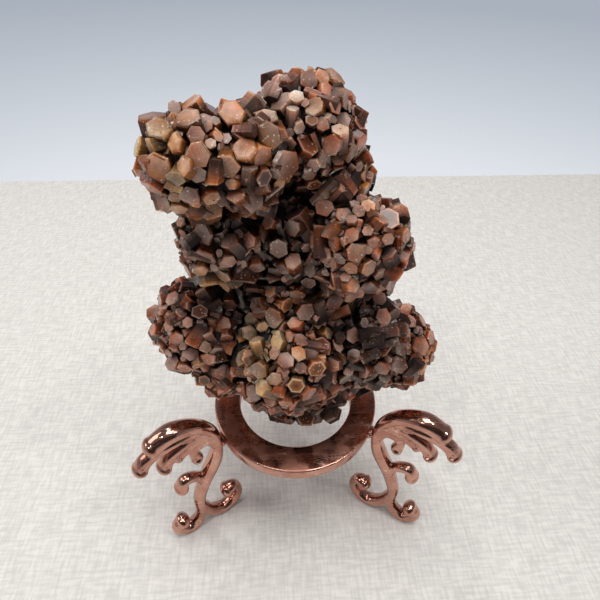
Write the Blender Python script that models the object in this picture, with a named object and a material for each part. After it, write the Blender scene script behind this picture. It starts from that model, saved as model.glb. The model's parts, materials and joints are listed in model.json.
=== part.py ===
"""Aragonite cluster resting in a three-legged display stand of cast zinc, plated rose gold.

The cluster is one stone: bursts of stubby six-sided prisms that grew outwards from a few centres and
into each other. The stand is four castings: a flat ring and three alike legs, each a flat scroll with
two curled feet, a small curl half way up and a wing of a broad rib, three feathers and a volute above.

Frame: +Z up, X to the viewer's right, Y away from the viewer, feet on z = 0. The origin is the middle
of the whole object's footprint. All sizes are in metres.
"""

import math
import random

import bmesh
import bpy
from mathutils import Matrix, Vector

MM = 0.001

# Stand: driving dimensions.
RING_OUTER_RADIUS = 18.6 * MM
RING_INNER_RADIUS = 12.8 * MM
RING_TOP = 32.0 * MM
RING_THICKNESS = 3.0 * MM
RING_EDGE = 0.4 * MM  # chamfer of the two top edges
RING_SEGMENTS = 40
LEG_ANGLES = {"leg_left": 210, "leg_right": 330, "leg_back": 90}  # degrees from +X, seen from above
LEG_DEPTH = 1.25  # a bar's thickness across the leg's plane, over its width in it
JOINT_GAP = 0.3 * MM  # between a leg's neck and the ring, which solder fills
BAR_ROUNDNESS = 1  # of a bar's section, six-sided
BAR_STEPS = 2  # straight runs between two points of a scroll's centreline
KNOB_SWELL = 1.12  # radius of the knob that ends a scroll, over the bar's
KNOB_STATIONS = (0.0, 0.7, 1.2)  # angles from a knob's middle, in radians, at which its round end is cut

# Cluster: driving dimensions.
SEAT_GAP = 0.3 * MM  # between the stone and the ring that it rests on
CRYSTAL_ROOT = 0.4  # a crystal starts at this share of its burst's radius
CRYSTAL_TAPER = 0.95  # tip width over root width
CRYSTAL_FLATNESS = 0.86  # a crystal's narrow width over its wide one
LUMP_DEPTHS = (0.72, 0.85)  # between them, where a packed crystal ends, as a share of its burst's radius
LUMP_FACET = 7.0  # how far apart (mm) the packed crystals' ends are
LUMP_MERGE = 0.15 * MM  # edges shorter than this are closed up
CROWDING = 0.45  # least distance between two tips, as a share of their widths' sum
BURIED = 0.93  # a tip nearer than this to another burst's centre, as a share of its radius, is left out
RING_REACH = 0.6  # of a crystal's width: how near its end may come to the ring
RING_TEST_DEPTH = 2.5  # how far below its tip (mm) a crystal is tested against the ring, too
TIP_REACH = (0.93, 1.02)  # between them, how far a spread crystal reaches, over its burst's radius
TIP_WIDTH = (0.9, 1.25)  # between them, its width over its burst's crystal width
SPREAD_JITTER = 0.3  # how far a direction is moved from even, over the mean spacing
SEED = 1907

# Scrolls of one leg in its own plane: (distance from the ring's axis, height, radius) in mm.
# The two feet run a little below the table, and are filed off flat there.
SCROLLS = {
    "stem": [(20.0, 31.2, 1.1), (21.3, 25.6, 2.0), (24.8, 18.4, 1.9), (27.0, 11.8, 1.7),
             (27.0, 7.5, 1.8)],
    "rib": [(19.9, 31.0, 0.9), (21.0, 36.0, 1.3), (24.2, 40.2, 1.8), (28.8, 41.9, 2.3),
            (32.2, 40.3, 2.2)],
    "first_feather": [(22.6, 37.4, 0.9), (26.5, 38.4, 1.2), (31.3, 38.4, 1.4), (34.2, 37.2, 1.7),
                      (35.7, 35.3, 1.8)],
    "second_feather": [(21.6, 35.8, 0.9), (26.0, 36.4, 1.2), (29.8, 34.6, 1.4), (31.8, 31.2, 1.7)],
    "third_feather": [(21.0, 34.4, 0.9), (24.5, 34.9, 1.2), (28.9, 33.0, 1.4)],
    "volute": [(20.8, 30.8, 1.2), (22.4, 33.3, 1.2), (25.4, 32.4, 1.2), (25.2, 29.0, 1.5)],
    "middle_curl": [(25.0, 18.4, 1.3), (26.4, 21.8, 1.3), (28.9, 22.9, 1.5), (30.0, 20.8, 1.8)],
    "outer_foot": [(27.0, 8.5, 1.7), (27.9, 3.6, 1.6), (30.4, 1.05, 1.5), (33.0, 2.0, 1.4),
                   (34.0, 4.4, 1.4), (32.4, 5.8, 1.9)],
    "inner_foot": [(27.0, 8.5, 1.7), (25.3, 3.6, 1.6), (22.3, 1.05, 1.5), (19.0, 2.2, 1.4),
                   (17.4, 5.4, 1.4), (18.2, 8.6, 1.4), (20.0, 8.4, 1.8)],
}

# Bursts of crystals: centre from the ring's axis and the table and radius (mm), crystal width (mm),
# and over how many even directions its crystals are spread.
BURSTS = {
    "top_left": ((-15.2, -3.5, 90.2), 8.6, 4.6, 14),
    "top_middle": ((-8.2, -2.0, 91.0), 8.0, 4.6, 13),
    "top": ((1.4, 5.0, 91.2), 9.6, 4.0, 22),
    "top_right": ((5.8, 4.5, 85.0), 8.4, 4.0, 18),
    "right": ((9.8, -2.5, 77.0), 9.0, 3.8, 22),
    "middle_left": ((-11.6, 0.5, 77.0), 8.6, 4.3, 18),
    "middle": ((-2.5, 6.5, 75.5), 13.0, 4.5, 18),
    "low_left": ((-17.6, -1.0, 58.0), 9.4, 4.0, 23),
    "low_left_foot": ((-14.0, -4.5, 51.0), 7.0, 4.0, 14),
    "heart": ((0.0, 4.0, 60.0), 14.0, 4.7, 18),
    "low_front": ((-2.0, -4.5, 54.5), 12.0, 4.4, 29),
    "low_right": ((11.2, -2.5, 53.5), 10.4, 4.4, 26),
    "far_right": ((19.6, 0.0, 48.8), 8.8, 4.4, 22),
    "base": ((0.0, 1.5, 42.5), 12.4, 4.5, 20),
    "back_left": ((-11.5, 10.5, 52.0), 11.4, 5.1, 16),
    "back_right": ((11.0, 11.0, 60.0), 11.4, 5.1, 16),
    "shoulder": ((-12.0, 4.0, 84.0), 8.0, 4.4, 12),
    "back_top": ((-4.0, 12.0, 83.0), 10.0, 4.7, 14),
}

# Crystals that stand out of each burst: azimuth from the viewer's side towards +X and elevation (both
# in degrees), reach over the burst's radius, and width (mm).
LEADERS = {
    "top_left": [(-40, 52, 1.04, 3.9), (10, 67, 1.02, 3.6), (18, 48, 1.0, 2.6), (46, 41, 1.02, 1.7),
                 (32, 38, 1.0, 1.8), (15, 29, 1.05, 3.5), (11, 12, 1.0, 2.7), (-27, 16, 1.02, 3.9),
                 (-12, 42, 0.98, 2.9), (-70, 25, 1.03, 3.4)],
    "top_middle": [(-15, 71, 1.05, 3.7), (-45, 57, 0.98, 2.8), (8, 35, 1.04, 3.5), (44, 42, 1.05, 4.0),
                   (70, 60, 1.0, 3.2)],
    "top": [(-60, 70, 1.04, 2.9), (53, 73, 1.04, 2.6), (37, 60, 1.0, 2.5), (35, 44, 1.0, 2.4),
            (2, 34, 1.0, 1.8), (-20, 55, 1.0, 2.4), (-12, 7, 1.0, 2.8)],
    "top_right": [(45, 0, 1.03, 3.1), (75, 35, 1.05, 3.0), (85, -5, 1.03, 3.0)],
    "right": [(-21, 42, 1.03, 2.6), (0, 48, 1.02, 1.9), (-12, 27, 1.06, 3.1), (2, 12, 1.06, 2.7),
              (26, 37, 1.04, 2.1), (54, 30, 1.06, 2.9), (70, 5, 1.05, 2.7)],
    "middle_left": [(-25, -8, 1.05, 2.8), (-50, -20, 1.05, 2.8), (5, 5, 1.0, 2.7)],
    "middle": [(-4, 15, 1.04, 3.3), (2, -40, 1.0, 3.9)],
    "heart": [(-20, 25, 1.03, 3.9), (5, 30, 1.02, 3.6), (30, 32, 1.02, 3.4)],
    "low_left": [(8, 20, 1.02, 2.4), (7, 57, 1.02, 3.3), (-12, 45, 1.03, 2.1), (-62, 19, 1.07, 2.7),
                 (-65, 60, 1.03, 2.9)],
    "low_front": [(-72, 68, 1.04, 3.5), (13, 67, 1.02, 3.0), (65, 58, 1.0, 2.9), (10, 42, 1.03, 2.8),
                  (24, 26, 1.04, 3.1), (5, 16, 1.04, 3.1), (-13, 21, 1.02, 3.0), (-34, -15, 1.02, 3.0)],
    "low_right": [(-16, 60, 1.03, 2.8), (5, 64, 1.02, 1.9), (40, 50, 1.0, 2.9)],
    "far_right": [(25, 65, 1.03, 3.4), (37, 38, 1.03, 4.4), (70, 30, 1.04, 3.4), (60, 5, 1.03, 3.0)],
}

# Name of each material: colour, metallic, roughness.
FINISHES = {
    "aragonite": ((0.36, 0.15, 0.075, 1.0), 0.0, 0.35),
    "rose_gold_plate": ((0.80, 0.42, 0.32, 1.0), 1.0, 0.15),
}


def clear_scene():
    for obj in list(bpy.data.objects):
        bpy.data.objects.remove(obj, do_unlink=True)


def finish(name):
    """The Principled material of that name, made once."""
    material = bpy.data.materials.get(name)
    if material is None:
        colour, metallic, roughness = FINISHES[name]
        material = bpy.data.materials.new(name)
        material.use_nodes = True
        shader = material.node_tree.nodes["Principled BSDF"]
        shader.inputs["Base Color"].default_value = colour
        shader.inputs["Metallic"].default_value = metallic
        shader.inputs["Roughness"].default_value = roughness
    return material


def add_object(name, mesh, material=None):
    obj = bpy.data.objects.new(name, mesh)
    bpy.context.scene.collection.objects.link(obj)
    if material:
        mesh.materials.clear()
        mesh.materials.append(finish(material))
    return obj


def add_shape(name, shape, material=None):
    """An object from a bmesh, which is used up."""
    mesh = bpy.data.meshes.new(name)
    shape.to_mesh(mesh)
    shape.free()
    return add_object(name, mesh, material)


def applied(obj, name):
    """A mesh of what the viewport shows of obj, which is then removed."""
    bpy.context.view_layer.update()
    graph = bpy.context.evaluated_depsgraph_get()
    mesh = bpy.data.meshes.new_from_object(obj.evaluated_get(graph), depsgraph=graph)
    mesh.name = name
    bpy.data.objects.remove(obj, do_unlink=True)
    return mesh


def boolean(obj, operation, other, use_self=False):
    modifier = obj.modifiers.new(operation.lower(), "BOOLEAN")
    modifier.operation = operation
    modifier.object = other
    modifier.solver = "EXACT"
    modifier.use_self = use_self
    return modifier


def joined(shapes):
    """One bmesh that holds every mesh in the list, which are then removed."""
    whole = bmesh.new()
    for mesh in shapes:
        whole.from_mesh(mesh)
        bpy.data.meshes.remove(mesh)
    return whole


def largest_shell(mesh):
    """Leaves out the walls of pockets that a union sealed inside."""
    shape = bmesh.new()
    shape.from_mesh(mesh)
    left = set(shape.verts)
    best = set()
    while left:
        shell = set()
        edge_of_search = [next(iter(left))]
        while edge_of_search:
            vert = edge_of_search.pop()
            if vert in shell:
                continue
            shell.add(vert)
            edge_of_search.extend(edge.other_vert(vert) for edge in vert.link_edges)
        left -= shell
        best = max(best, shell, key=len)
    bmesh.ops.delete(shape, geom=[v for v in shape.verts if v not in best], context="VERTS")
    shape.to_mesh(mesh)
    shape.free()
    return mesh


# Stand ---------------------------------------------------------------------------------------------


def ring_profile(grow=0.0):
    """(radius, height) round the ring's section, grown outwards by grow."""
    inner = RING_INNER_RADIUS - grow
    outer = RING_OUTER_RADIUS + grow
    top = RING_TOP + grow
    bottom = RING_TOP - RING_THICKNESS - grow
    return [
        (inner, top - RING_EDGE),
        (inner + RING_EDGE, top),
        (outer - RING_EDGE, top),
        (outer, top - RING_EDGE),
        (outer, bottom),
        (inner, bottom),
    ]


def ring_shape(grow=0.0):
    """The ring as a bmesh, turned from its section."""
    shape = bmesh.new()
    verts = [shape.verts.new((radius, 0, height)) for radius, height in ring_profile(grow)]
    edges = [shape.edges.new((a, b)) for a, b in zip(verts, verts[1:] + verts[:1])]
    bmesh.ops.spin(shape, geom=verts + edges, cent=(0, 0, 0), axis=(0, 0, 1),
                   angle=math.tau, steps=RING_SEGMENTS, use_merge=True)
    bmesh.ops.remove_doubles(shape, verts=shape.verts, dist=0.01 * MM)
    bmesh.ops.recalc_face_normals(shape, faces=shape.faces)
    return shape


def smooth_route(points):
    """Stations (x, z, radius) on a Catmull-Rom curve through the points, all in mm, with a round end."""
    ends = [points[0], *points, points[-1]]
    route = []
    for before, start, end, after in zip(ends, ends[1:], ends[2:], ends[3:]):
        for step in range(BAR_STEPS):
            t = step / BAR_STEPS
            route.append([
                0.5 * (2 * s + (e - b) * t + (2 * b - 5 * s + 4 * e - a) * t**2
                       + (3 * s - b - 3 * e + a) * t**3)
                for b, s, e, a in zip(before, start, end, after)
            ])
    x, z, radius = points[-1]
    onward = Vector((x - route[-1][0], z - route[-1][1])).normalized() * radius * KNOB_SWELL
    for angle in KNOB_STATIONS:
        along = onward * math.sin(angle)
        route.append([x + along.x, z + along.y, radius * KNOB_SWELL * math.cos(angle)])
    return route


def scroll_mesh(name, points):
    """A tapered round bar along the points, in the XZ plane, as a mesh."""
    route = smooth_route(points)
    curve = bpy.data.curves.new(name, "CURVE")
    curve.dimensions = "3D"
    curve.bevel_depth = MM
    curve.bevel_resolution = BAR_ROUNDNESS
    curve.use_fill_caps = True
    spline = curve.splines.new("POLY")
    spline.points.add(len(route) - 1)
    for point, (x, z, radius) in zip(spline.points, route):
        point.co = (x * MM, 0, z * MM, 1)
        point.radius = radius
    return applied(add_object(name, curve), name)


def block(name, low, high):
    shape = bmesh.new()
    centre = (Vector(low) + Vector(high)) / 2
    size = Vector(high) - Vector(low)
    bmesh.ops.create_cube(shape, size=1, matrix=Matrix.Translation(centre) @ Matrix.Diagonal((*size, 1)))
    return add_shape(name, shape)


def leg_mesh():
    """One leg in the XZ plane: its scrolls fused, its feet filed flat and its neck clear of the ring."""
    stem = add_object("stem", scroll_mesh("stem", SCROLLS["stem"]))
    branches = []
    for name, points in SCROLLS.items():
        if name != "stem":
            branches.append(scroll_mesh(name, points))
    branches = add_shape("branches", joined(branches))
    for bar in (stem, branches):
        bar.data.transform(Matrix.Diagonal((1, LEG_DEPTH, 1, 1)))
    below = block("below_table", (0, -0.02, -0.02), (0.06, 0.02, 0))
    neck = add_shape("neck_clearance", ring_shape(JOINT_GAP))
    boolean(stem, "UNION", branches, use_self=True)
    boolean(stem, "DIFFERENCE", below)
    boolean(stem, "DIFFERENCE", neck)
    mesh = largest_shell(applied(stem, "leg"))
    for helper in (branches, below, neck):
        bpy.data.objects.remove(helper, do_unlink=True)
    return mesh


def build_stand():
    ring = add_shape("ring", ring_shape(), "rose_gold_plate")
    mesh = leg_mesh()
    legs = []
    for name, angle in LEG_ANGLES.items():
        leg = add_object(name, mesh, "rose_gold_plate")
        leg.rotation_euler.z = math.radians(angle)
        legs.append(leg)
    for obj in [ring, *legs]:
        obj.data.shade_smooth()
        obj.data.set_sharp_from_angle(angle=math.radians(40))
    return [ring, *legs]


# Cluster -------------------------------------------------------------------------------------------


def spread_directions(count, rng):
    """Directions spread evenly over a ball, each moved a little at random."""
    spacing = math.sqrt(4 * math.pi / count)
    golden = math.pi * (3 - math.sqrt(5))
    found = []
    for i in range(count):
        z = 1 - (2 * i + 1) / count
        level = math.sqrt(1 - z * z)
        even = Vector((level * math.cos(golden * i), level * math.sin(golden * i), z))
        moved = even + SPREAD_JITTER * spacing * Vector([rng.uniform(-1, 1) for _ in range(3)])
        found.append(moved.normalized())
    return found


def near_ring(point, reach):
    """Whether the point, in mm, is within reach of the ring's section."""
    radius = math.hypot(point.x, point.y)
    low, high = (RING_TOP - RING_THICKNESS) / MM, RING_TOP / MM
    across = max(RING_INNER_RADIUS / MM - radius, radius - RING_OUTER_RADIUS / MM, 0)
    along = max(low - point.z, point.z - high, 0)
    return math.hypot(across, along) < reach


def from_angles(azimuth, elevation):
    """The direction at an azimuth from the viewer's side (-Y) towards +X, and an elevation, in degrees."""
    azimuth, elevation = math.radians(azimuth), math.radians(elevation)
    level = math.cos(elevation)
    return Vector((level * math.sin(azimuth), -level * math.cos(azimuth), math.sin(elevation)))


def crystal_places():
    """(root, tip, width, turn) in mm of each crystal whose tip stands clear of other bursts and tips."""
    rng = random.Random(SEED)
    places = []
    for name, (centre, radius, width, count) in BURSTS.items():
        centre = Vector(centre)
        others = [(Vector(c), r) for other, (c, r, _, _) in BURSTS.items() if other != name]
        wanted = [(from_angles(azimuth, elevation), reach, across)
                  for azimuth, elevation, reach, across in LEADERS.get(name, [])]
        for direction in spread_directions(count, rng):
            wanted.append((direction, rng.uniform(*TIP_REACH), width * rng.uniform(*TIP_WIDTH)))
        for direction, reach, across in wanted:
            turn = rng.uniform(0, math.tau)
            tip = centre + direction * radius * reach
            root = centre + direction * radius * CRYSTAL_ROOT
            if any((tip - c).length < BURIED * r for c, r in others):
                continue
            neck = tip - direction * RING_TEST_DEPTH
            if near_ring(tip, RING_REACH * across) or near_ring(neck, RING_REACH * across):
                continue
            if any((tip - t).length < CROWDING * (across + w) for _, t, w, _ in places):
                continue
            places.append((root, tip, across, turn))
    return places


def add_crystal(shape, root, tip, width, turn):
    """A six-sided prism from root to tip, with a flat end, added to a bmesh."""
    axis = tip - root
    along = axis.to_track_quat("Z", "Y").to_matrix().to_4x4()
    place = (Matrix.Translation((root + tip) / 2 * MM) @ along @ Matrix.Rotation(turn, 4, "Z")
             @ Matrix.Diagonal((1, CRYSTAL_FLATNESS, 1, 1)))
    bmesh.ops.create_cone(shape, cap_ends=True, segments=6, radius1=width / 2 * MM,
                          radius2=width / 2 * CRYSTAL_TAPER * MM, depth=axis.length * MM, matrix=place)


def packed_burst(name, centre, radius, rng):
    """A burst's packed crystals as a mesh: a lump cut flat where each of them ends."""
    lump = bmesh.new()
    bmesh.ops.create_cube(lump, size=2.4 * radius)
    ends = round(4 * math.pi * radius**2 / LUMP_FACET**2)
    for direction in spread_directions(ends, rng):
        whole = lump.verts[:] + lump.edges[:] + lump.faces[:]
        cut = bmesh.ops.bisect_plane(lump, geom=whole, plane_co=direction * radius * rng.uniform(*LUMP_DEPTHS),
                                     plane_no=direction, clear_outer=True)
        rim = [part for part in cut["geom_cut"] if isinstance(part, bmesh.types.BMEdge)]
        bmesh.ops.contextual_create(lump, geom=rim)
    bmesh.ops.transform(lump, verts=lump.verts, matrix=Matrix.Scale(MM, 4) @ Matrix.Translation(centre))
    bmesh.ops.remove_doubles(lump, verts=lump.verts, dist=LUMP_MERGE)
    bmesh.ops.recalc_face_normals(lump, faces=lump.faces)
    mesh = bpy.data.meshes.new(name)
    lump.to_mesh(mesh)
    lump.free()
    return mesh


def build_cluster():
    rng = random.Random(SEED + 1)
    lumps = [packed_burst(name, centre, radius, rng) for name, (centre, radius, _, _) in BURSTS.items()]
    crystals = bmesh.new()
    for place in crystal_places():
        add_crystal(crystals, *place)
    cluster = add_shape("lumps", joined(lumps))
    prisms = add_shape("prisms", crystals)
    seat = add_shape("seat_clearance", ring_shape(SEAT_GAP))
    boolean(cluster, "UNION", prisms, use_self=True)
    boolean(cluster, "DIFFERENCE", seat)
    mesh = largest_shell(applied(cluster, "cluster"))
    for helper in (prisms, seat):
        bpy.data.objects.remove(helper, do_unlink=True)
    return add_object("aragonite_cluster", mesh, "aragonite")


def centre_on_footprint(pieces):
    """Moves every piece so that the middle of the whole footprint is the origin."""
    bpy.context.view_layer.update()
    points = [piece.matrix_world @ vert.co for piece in pieces for vert in piece.data.vertices]
    shift = Vector([-(min(p[i] for p in points) + max(p[i] for p in points)) / 2 for i in (0, 1)] + [0])
    for piece in pieces:
        piece.location = shift


clear_scene()
centre_on_footprint([*build_stand(), build_cluster()])
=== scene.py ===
"""Aragonite cluster on a rose gold plated ring stand: its crystals, its castings and the studio round it.

Every finished piece is in metres, in the frame's own axes: +Z up, X to the viewer's right, Y away from
the viewer, the stand's feet on z = 0. Tables of shapes are in millimetres from the ring's axis.
"""

import itertools
import json
import math
import random

import bmesh
import bpy
from bpy.props import FloatProperty, FloatVectorProperty, IntProperty, PointerProperty
from mathutils import Matrix, Vector, noise

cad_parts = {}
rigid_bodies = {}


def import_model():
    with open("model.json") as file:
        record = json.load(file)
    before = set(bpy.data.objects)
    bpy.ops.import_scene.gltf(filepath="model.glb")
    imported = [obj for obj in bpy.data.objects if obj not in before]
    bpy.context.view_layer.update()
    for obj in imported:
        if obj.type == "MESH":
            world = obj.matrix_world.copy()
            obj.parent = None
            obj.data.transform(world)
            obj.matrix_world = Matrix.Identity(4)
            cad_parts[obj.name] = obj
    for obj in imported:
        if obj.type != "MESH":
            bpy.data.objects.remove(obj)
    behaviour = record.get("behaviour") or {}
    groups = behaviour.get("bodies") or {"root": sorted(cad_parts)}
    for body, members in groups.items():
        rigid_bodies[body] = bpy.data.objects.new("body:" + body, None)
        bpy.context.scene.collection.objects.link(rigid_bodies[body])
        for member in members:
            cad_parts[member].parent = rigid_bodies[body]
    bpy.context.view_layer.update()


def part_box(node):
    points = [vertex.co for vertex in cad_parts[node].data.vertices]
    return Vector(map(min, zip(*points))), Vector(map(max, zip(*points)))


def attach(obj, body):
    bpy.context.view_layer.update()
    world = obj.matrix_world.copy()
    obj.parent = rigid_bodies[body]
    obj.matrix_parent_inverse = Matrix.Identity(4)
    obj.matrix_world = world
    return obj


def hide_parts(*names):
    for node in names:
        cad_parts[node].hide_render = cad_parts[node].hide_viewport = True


bl_info = {
    "name": "Aragonite Cluster",
    "version": (1, 0, 0),
    "blender": (4, 5, 0),
    "location": "View3D > Sidebar > Specimen",
    "description": "Grows an aragonite cluster, and makes its plated ring stand and its studio",
    "category": "Object",
}

MM = 0.001
SAME_PLACE = 0.001 * MM  # corners nearer than this are merged

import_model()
RING_LOW, RING_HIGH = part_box("ring")
RING_AXIS = Vector(((RING_LOW.x + RING_HIGH.x) / 2, (RING_LOW.y + RING_HIGH.y) / 2, 0))
RING_OUTER_RADIUS = (RING_HIGH.x - RING_LOW.x) / 2
RING_TOP = RING_HIGH.z
RING_BOTTOM = RING_LOW.z

# Cluster -------------------------------------------------------------------------------------------

# Bursts of crystals: centre from the ring's axis and the table and radius (mm), crystal width (mm),
# and the palette that most of its crystals take.
BURSTS = {
    "top_left": ((-14.6, -3.5, 91.8), 7.5, 3.3, "amber"),
    "top_middle": ((-8.2, -2.0, 91.2), 7.6, 3.3, "amber"),
    "top": ((1.2, 5.0, 91.9), 8.7, 2.5, "glittering"),
    "top_right": ((5.0, 4.5, 85.0), 7.3, 2.6, "glittering"),
    "right": ((9.5, -2.5, 76.7), 8.6, 2.4, "fiery"),
    "middle_left": ((-11.6, 0.5, 77.0), 8.6, 2.8, "shaded"),
    "middle": ((-2.5, 6.5, 75.5), 13.0, 2.8, "dark"),
    "low_left": ((-17.6, -1.0, 58.0), 9.4, 2.6, "pinkish"),
    "low_left_foot": ((-14.0, -4.5, 51.0), 7.0, 2.5, "pinkish"),
    "heart": ((0.0, 4.0, 60.0), 14.0, 2.9, "shaded"),
    "low_front": ((-2.0, -4.5, 54.5), 12.0, 2.7, "russet"),
    "low_right": ((11.2, -2.5, 53.5), 10.4, 2.6, "grey"),
    "far_right": ((19.6, 0.0, 48.8), 8.8, 2.8, "pinkish"),
    # Painted shade: the burst under the cluster takes a darker palette, as its underside gets little light.
    "base": ((0.0, 1.5, 42.5), 12.4, 2.8, "rough"),
    "back_left": ((-11.5, 10.5, 52.0), 11.4, 3.0, "pinkish"),
    "back_right": ((10.6, 11.0, 60.0), 10.4, 3.0, "russet"),
    "shoulder": ((-11.4, 3.0, 84.6), 7.0, 3.0, "amber"),
    "back_top": ((-4.0, 12.0, 83.0), 10.0, 3.0, "russet"),
}

# Crystals that stand out of each burst: azimuth from the viewer's side towards +X and elevation (both
# in degrees), reach over the burst's radius, width (mm), style of its cap and kind of crystal.
LEADERS = {
    "top_left": [
        (-40, 52, 1.04, 3.9, "worn", "olive"), (10, 67, 1.02, 3.6, "worn", "honey"),
        (18, 48, 1.0, 2.6, "flat", "mauve"), (46, 41, 1.02, 1.7, "flat", "mauve"),
        (32, 38, 1.0, 1.8, "flat", "lilac"), (15, 29, 1.05, 3.5, "hollow", "ember"),
        (11, 12, 1.0, 2.7, "hollow", "mauve"), (-27, 16, 1.02, 4.1, "worn", "honey"),
        (-12, 42, 0.98, 3.0, "worn", "honey"), (-70, 25, 1.03, 3.4, "worn", "olive"),
        (0, -8, 1.0, 2.6, "flat", "smoke"), (23, -16, 1.0, 2.6, "flat", "lilac"),
        (-17, -32, 1.0, 2.7, "flat", "tan"),
    ],
    "top_middle": [
        (-15, 71, 1.05, 3.9, "worn", "honey"), (-45, 57, 0.98, 2.8, "worn", "honey"),
        (8, 35, 1.04, 3.7, "worn", "pale"), (44, 42, 1.05, 4.2, "worn", "honey"),
        (70, 60, 1.0, 3.2, "worn", "olive"), (-10, 8, 1.0, 2.6, "flat", "umber"),
        (25, 5, 1.0, 2.7, "flat", "mauve"),
    ],
    "top": [
        (-60, 70, 1.04, 3.0, "flat", "russet"), (53, 73, 1.04, 2.6, "flat", "ember"),
        (37, 60, 1.0, 2.6, "flat", "russet"), (35, 44, 1.0, 2.4, "flat", "mauve"),
        (2, 34, 1.0, 1.8, "flat", "rose"), (-20, 55, 1.0, 2.4, "flat", "frost"),
        (-12, 7, 1.0, 2.9, "flat", "smoke"), (-60, 35, 1.0, 2.4, "flat", "rose"),
        (45, -2, 1.02, 3.0, "stepped", "tan"), (70, 20, 1.0, 2.6, "flat", "russet"),
    ],
    "top_right": [
        (45, 0, 1.03, 3.1, "stepped", "tan"), (75, 35, 1.05, 3.0, "flat", "russet"),
        (85, -5, 1.03, 3.0, "flat", "umber"),
    ],
    "right": [
        (-21, 42, 1.03, 2.7, "flat", "mauve"), (0, 48, 1.02, 1.9, "flat", "mauve"),
        (-12, 27, 1.06, 3.2, "hollow", "ember"), (2, 12, 1.06, 2.8, "hollow", "honey"),
        (26, 37, 1.04, 2.1, "flat", "rose"), (54, 30, 1.06, 2.9, "worn", "ember"),
        (70, 5, 1.05, 2.7, "flat", "russet"), (10, 75, 1.03, 2.8, "flat", "ember"),
    ],
    "middle_left": [
        (-25, -8, 1.05, 2.8, "stepped", "tan"), (-50, -20, 1.05, 2.8, "flat", "smoke"),
        (5, 5, 1.0, 2.7, "flat", "umber"),
    ],
    "middle": [(-4, 15, 1.04, 3.4, "flat", "smoke"), (2, -40, 1.0, 3.9, "worn", "ember")],
    "heart": [
        (-20, 25, 1.03, 3.9, "stepped", "tan"), (5, 30, 1.02, 3.6, "flat", "umber"),
        (30, 32, 1.02, 3.4, "flat", "russet"),
    ],
    "low_left": [
        (8, 20, 1.02, 2.4, "worn", "tan"), (7, 57, 1.02, 3.3, "flat", "umber"),
        (-12, 45, 1.03, 2.1, "flat", "mauve"), (-62, 19, 1.07, 2.7, "worn", "russet"),
        (-65, 60, 1.03, 2.9, "flat", "rose"), (-40, 35, 1.0, 2.5, "flat", "rose"),
    ],
    "low_front": [
        (-72, 68, 1.04, 3.6, "stepped", "rose"), (13, 67, 1.02, 3.1, "flat", "rose"),
        (65, 58, 1.0, 2.9, "flat", "umber"), (10, 42, 1.03, 2.8, "hollow", "ember"),
        (24, 26, 1.04, 3.1, "flat", "ember"), (5, 16, 1.04, 3.2, "flat", "olive"),
        (-13, 21, 1.02, 3.0, "worn", "tan"), (-34, -15, 1.02, 3.0, "worn", "tan"),
        (-50, 72, 1.0, 2.8, "worn", "ember"),
    ],
    "low_right": [
        (-16, 60, 1.03, 2.8, "flat", "smoke"), (5, 64, 1.02, 1.9, "flat", "frost"),
        (40, 50, 1.0, 2.9, "flat", "mauve"),
    ],
    "far_right": [
        (25, 65, 1.03, 3.4, "flat", "rose"), (37, 38, 1.03, 4.6, "worn", "rose"),
        (70, 30, 1.04, 3.4, "worn", "russet"), (60, 5, 1.03, 3.0, "stepped", "ember"),
    ],
}

# Places that differ from their burst: burst, azimuth and elevation (degrees), radius (mm), palette.
PATCHES = [
    ("low_front", -48, 45, 4.6, "straw"),
    ("low_front", -35, 22, 4.2, "straw"),
    ("low_right", 10, 25, 7.0, "rough"),
    ("low_left_foot", -5, 10, 4.4, "orange"),
    # Patches of white caps on the top burst: partly frosted stone, partly painted glitter.
    ("top", -35, 38, 4.2, "frosted_and_glinting"),
    ("top", 12, 14, 4.0, "frosted_and_glinting"),
    ("middle_left", -20, -45, 4.5, "straw"),
    ("low_front", -60, 85, 5.0, "orange"),
    ("far_right", 45, 0, 4.5, "orange"),
    # Painted shade: the underside of the base takes the dark palette.
    ("base", 0, -30, 10.0, "dark"),
]

# Kinds of crystal: colour of its prism and colour of its cap, by their names in the settings.
KINDS = {
    "honey": ("honey", "honey"),
    "pale": ("honey", "straw"),
    "olive": ("straw", "honey"),
    "mauve": ("russet", "mauve"),
    "lilac": ("honey", "mauve"),
    "ember": ("ember", "honey"),
    "russet": ("russet", "russet"),
    "umber": ("umber", "mauve"),
    "smoke": ("umber", "smoke"),
    "tan": ("honey", "straw"),
    "rose": ("russet", "rose"),
    "straw": ("straw", "straw"),
    # White caps: partly frosted stone, partly painted glitter.
    "frost": ("rose", "frost"),
}

# Palettes: how often each kind of crystal comes.
PALETTES = {
    "amber": {"honey": 4, "lilac": 1, "mauve": 1, "olive": 1, "ember": 4, "russet": 4, "umber": 4},
    "fiery": {"ember": 5, "russet": 6, "umber": 4, "mauve": 2},
    "glittering": {"russet": 4, "mauve": 4, "rose": 2, "frost": 1, "ember": 2, "tan": 2, "umber": 2},
    "russet": {"russet": 5, "mauve": 5, "ember": 3, "rose": 1, "umber": 2},
    "shaded": {"umber": 5, "mauve": 3, "russet": 2, "smoke": 3, "tan": 1},
    "dark": {"umber": 6, "smoke": 3, "russet": 1},
    "pinkish": {"mauve": 4, "rose": 3, "russet": 4, "umber": 2, "tan": 2},
    "grey": {"smoke": 4, "mauve": 3, "umber": 3, "russet": 2, "rose": 1},
    "rough": {"smoke": 5, "umber": 6, "straw": 1},
    "straw": {"straw": 6, "olive": 2, "tan": 2},
    "orange": {"ember": 6, "russet": 2},
    # White caps, partly frosted stone and partly painted glitter.
    "frosted_and_glinting": {"frost": 5, "rose": 3, "russet": 2, "mauve": 2},
}

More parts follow.
